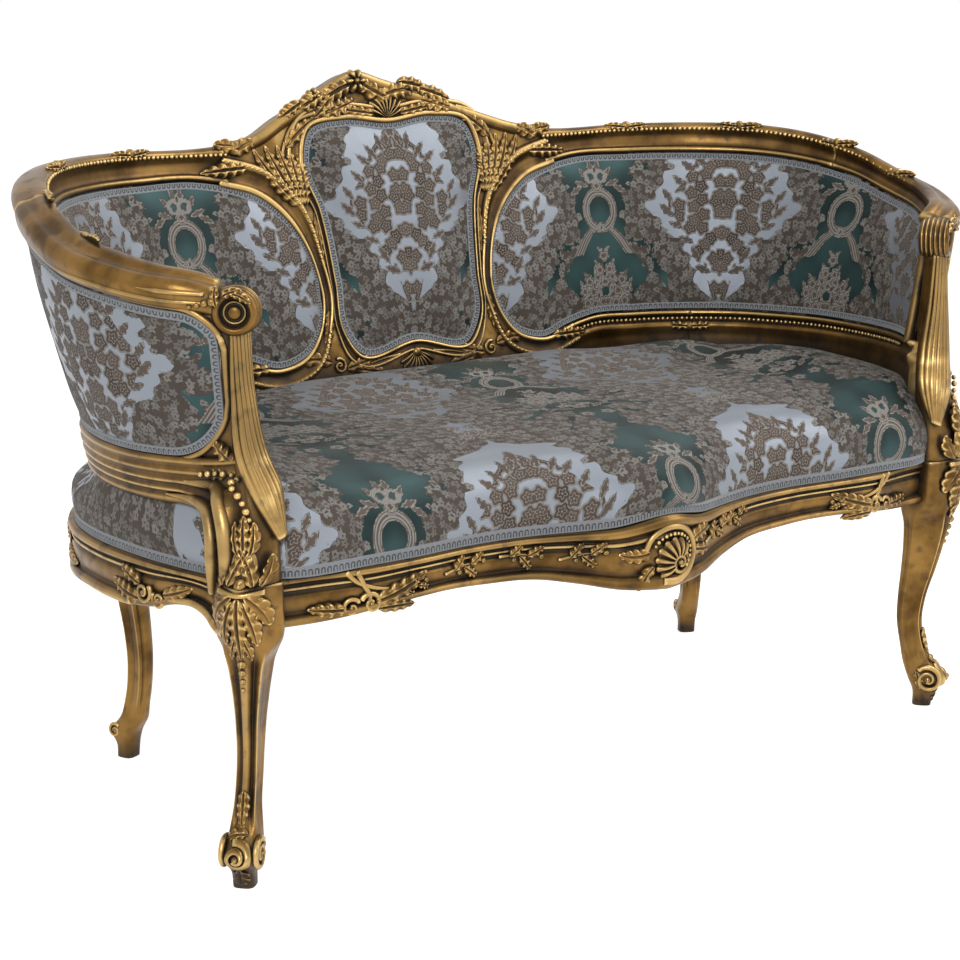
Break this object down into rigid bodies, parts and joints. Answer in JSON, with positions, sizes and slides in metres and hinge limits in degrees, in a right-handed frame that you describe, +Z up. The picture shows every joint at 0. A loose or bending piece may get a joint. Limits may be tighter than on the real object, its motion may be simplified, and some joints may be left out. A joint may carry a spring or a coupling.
{
  "type": "canape sofa",
  "caption": "Carved giltwood basket settee with a medallion back, sloping scroll arms, a sprung upholstered seat and cabriole legs.",
  "frame": {"origin": "on the floor, under the middle of the settee's box", "axes": "+X to the right seen from the front, along the settee's length; the front faces -Y; +Z up"},
  "size_m": [1.4766, 0.7788, 0.9777],
  "materials": {
    "gilt_wood": "carved wood under aged gold leaf, dark patina in the hollows",
    "frame_wood": "plain sawn beech, unfinished",
    "brocade": "satin brocade with floral columns in silver, teal and taupe",
    "outside_fabric": "the same satin brocade, stretched over a flat stuffing",
    "webbing": "coarse jute webbing and hessian",
    "spring_steel": "dull steel wire"
  },
  "bodies": {
    "root": {"front_leg_left": "gilt_wood", "front_leg_right": "gilt_wood", "back_leg_left": "gilt_wood", "back_leg_right": "gilt_wood", "front_seat_rail": "gilt_wood", "side_seat_rail_left": "gilt_wood", "side_seat_rail_right": "gilt_wood", "arm_post_left": "gilt_wood", "arm_post_right": "gilt_wood", "arm_rail_left": "gilt_wood", "arm_rail_right": "gilt_wood", "lower_arm_rail_left": "gilt_wood", "lower_arm_rail_right": "gilt_wood", "crest_rail_centre": "gilt_wood", "crest_rail_left": "gilt_wood", "crest_rail_right": "gilt_wood", "back_stile_left": "gilt_wood", "back_stile_right": "gilt_wood", "lower_back_rail_centre": "gilt_wood", "lower_back_rail_left": "gilt_wood", "lower_back_rail_right": "gilt_wood", "back_seat_rail": "frame_wood", "back_upright_left": "frame_wood", "back_upright_right": "frame_wood", "front_corner_block_left": "frame_wood", "front_corner_block_right": "frame_wood", "back_corner_block_left": "frame_wood", "back_corner_block_right": "frame_wood", "seat_frame_dowels": "frame_wood", "back_frame_dowels": "frame_wood", "inside_back_panel_centre": "brocade", "inside_panel_left": "brocade", "inside_panel_right": "brocade", "seat_pad": "brocade", "outside_back_panel": "outside_fabric", "outside_arm_panel_left": "outside_fabric", "outside_arm_panel_right": "outside_fabric", "seat_webbing_lengthwise": "webbing", "seat_webbing_crosswise": "webbing", "seat_hessian": "webbing", "seat_springs": "spring_steel", "corner_block_screws": "spring_steel"}
  },
  "joints": []
}
